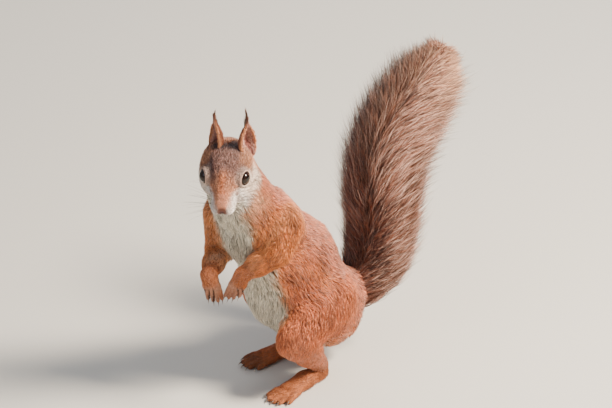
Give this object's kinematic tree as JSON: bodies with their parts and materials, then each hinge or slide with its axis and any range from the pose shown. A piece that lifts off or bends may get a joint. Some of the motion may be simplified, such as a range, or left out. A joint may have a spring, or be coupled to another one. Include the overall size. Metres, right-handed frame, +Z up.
{
  "type": "squirrel figure",
  "caption": "Life-size still figure of a Eurasian red squirrel standing upright on its hind feet, forepaws hanging in front, bushy tail raised behind.",
  "frame": {"origin": "on the floor under the middle of the box: the soles of both hind feet lie at Z = 0", "axes": "-Y is the way the body faces, +Y runs back to the tail, +X is the animal's left, +Z is up"},
  "size_m": [0.09, 0.2283, 0.2173],
  "materials": {
    "coat": "matte",
    "tail_hair": "matte",
    "ear": "matte",
    "paw": "matte",
    "claw": "satin",
    "eye": "gloss",
    "nose": "satin"
  },
  "bodies": {
    "root": {"abdomen": "coat", "chest": "coat", "ear_left": "ear", "ear_right": "ear", "eye_left": "eye", "eye_right": "eye", "forearm_left": "coat", "forearm_right": "coat", "foreclaw_left_1": "claw", "foreclaw_left_2": "claw", "foreclaw_left_3": "claw", "foreclaw_left_4": "claw", "foreclaw_right_1": "claw", "foreclaw_right_2": "claw", "foreclaw_right_3": "claw", "foreclaw_right_4": "claw", "forepaw_left": "paw", "forepaw_right": "paw", "head": "coat", "hindclaw_left_1": "claw", "hindclaw_left_2": "claw", "hindclaw_left_3": "claw", "hindclaw_left_4": "claw", "hindclaw_left_5": "claw", "hindclaw_right_1": "claw", "hindclaw_right_2": "claw", "hindclaw_right_3": "claw", "hindclaw_right_4": "claw", "hindclaw_right_5": "claw", "hindfoot_left": "paw", "hindfoot_right": "paw", "neck": "coat", "nose": "nose", "shank_left": "coat", "shank_right": "coat", "tail_base": "tail_hair", "tail_middle": "tail_hair", "tail_tip": "tail_hair", "thigh_left": "coat", "thigh_right": "coat", "upper_arm_left": "coat", "upper_arm_right": "coat"}
  },
  "joints": []
}
